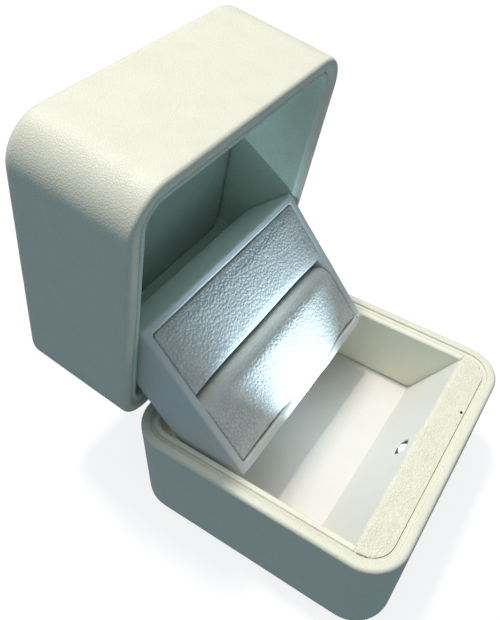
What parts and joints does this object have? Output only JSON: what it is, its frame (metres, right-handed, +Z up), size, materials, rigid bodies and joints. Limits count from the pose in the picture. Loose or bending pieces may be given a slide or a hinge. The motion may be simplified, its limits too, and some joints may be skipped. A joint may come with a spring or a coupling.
{
  "type": "jewelry gift box",
  "caption": "Open leather-covered ring box with a lamp in its base and a cushioned ring holder that swings up halfway with the hinged lid.",
  "frame": {"origin": "middle of the underside of the base, on the surface that the box stands on", "axes": "+X to the right seen from the front, +Y to the back where the hinge is, +Z up; stored with the lid open at its stop"},
  "size_m": [0.07, 0.0955, 0.1004],
  "materials": {
    "cream_leather": "fine-grained satin artificial leather, cream",
    "lining_leather": "pebble-grained artificial leather on card, cream",
    "cushion_leather": "coarse pebble-grained soft artificial leather, warm grey-cream",
    "moulding_plastic": "moulded polystyrene, off-white",
    "pad_fabric": "short velvet pad",
    "hinge_steel": "plated spring steel",
    "contact_brass": "sprung brass strip",
    "cell_steel": "plain steel can",
    "dark_plastic": "black moulded plastic",
    "lamp_epoxy": "clear epoxy, lit bluish white",
    "board_laminate": "green circuit board",
    "wire_sleeve": "soft insulated wire"
  },
  "bodies": {
    "base": {"base_shell": "moulding_plastic", "base_leather_wrap": "cream_leather", "base_bottom_pad": "pad_fabric", "base_floor_panel": "lining_leather", "base_wall_lining": "lining_leather", "base_front_panel": "lining_leather", "lamp_bezel": "dark_plastic", "lamp": "lamp_epoxy", "lamp_board": "board_laminate", "switch_housing": "dark_plastic", "cell_holder": "dark_plastic", "coin_cell": "cell_steel", "cell_contact": "contact_brass", "lamp_wire_left": "wire_sleeve", "lamp_wire_right": "wire_sleeve", "hinge_base_leaf": "hinge_steel", "hinge_pin": "hinge_steel"},
    "lid": {"lid_shell": "moulding_plastic", "lid_leather_wrap": "cream_leather", "lid_ceiling_panel": "lining_leather", "lid_wall_lining": "lining_leather", "hinge_lid_leaf": "hinge_steel"},
    "ring_holder": {"holder_frame": "cream_leather", "holder_back_panel": "lining_leather", "holder_bracket": "hinge_steel", "ring_cushion_lower": "cushion_leather", "ring_cushion_upper": "cushion_leather"},
    "switch_pin": {"switch_pin": "dark_plastic"}
  },
  "joints": [
    {"name": "lid_hinge", "type": "hinge", "parent": "base", "child": "lid", "pos_m": [0, 0.0338, 0.0293], "axis": [1, 0, 0], "range_deg": [0, 80]},
    {"name": "holder_swing", "type": "hinge", "parent": "base", "child": "ring_holder", "pos_m": [0, 0.0338, 0.0293], "axis": [1, 0, 0], "range_deg": [0, 40]},
    {"name": "switch_press", "type": "slide", "parent": "base", "child": "switch_pin", "axis": [0, 0, -1], "range_m": [0, 0.0005], "stiffness_N_per_m": 60, "springref_m": -0.001}
  ],
  "couplings": [
    {"joint": "holder_swing", "follows": "lid_hinge", "ratio": 0.5}
  ]
}
